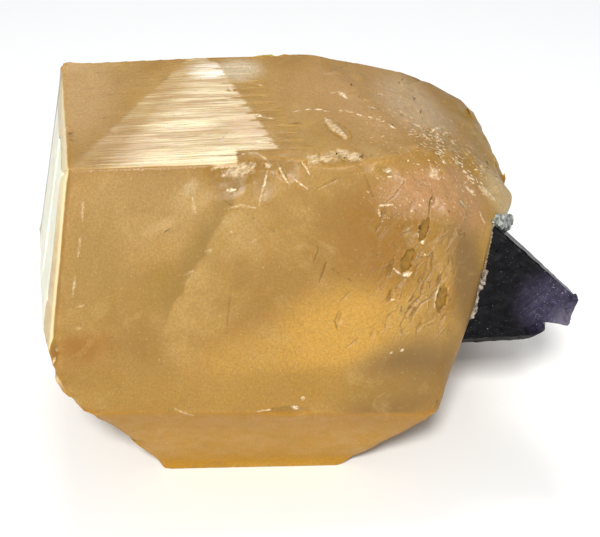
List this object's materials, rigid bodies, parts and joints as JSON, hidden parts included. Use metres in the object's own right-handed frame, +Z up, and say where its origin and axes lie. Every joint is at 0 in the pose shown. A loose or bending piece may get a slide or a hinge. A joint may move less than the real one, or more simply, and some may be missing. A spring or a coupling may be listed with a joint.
{
  "type": "calcite crystal with fluorite",
  "caption": "Stout honey calcite crystal with striated top face, rough dome and etch pits, and a dark violet fluorite cube grown into its side under a grey crystal crust.",
  "frame": {"origin": "centre of the bounding box's underside, on the plane of the flat base", "axes": "+Z up, +X towards the fluorite along the longest side, -Y towards the large smooth front face"},
  "size_m": [0.0984, 0.075, 0.0659],
  "materials": {
    "honey_calcite": "cloudy translucent honey crystal, silky on the striated face",
    "violet_fluorite": "glossy black-violet crystal, lighter violet at the thin tip",
    "grey_druse": "small grey translucent crystals"
  },
  "bodies": {
    "root": {"calcite_crystal": "honey_calcite", "fluorite_crystal": "violet_fluorite", "druse_crust": "grey_druse", "druse_seam": "grey_druse"}
  },
  "joints": []
}
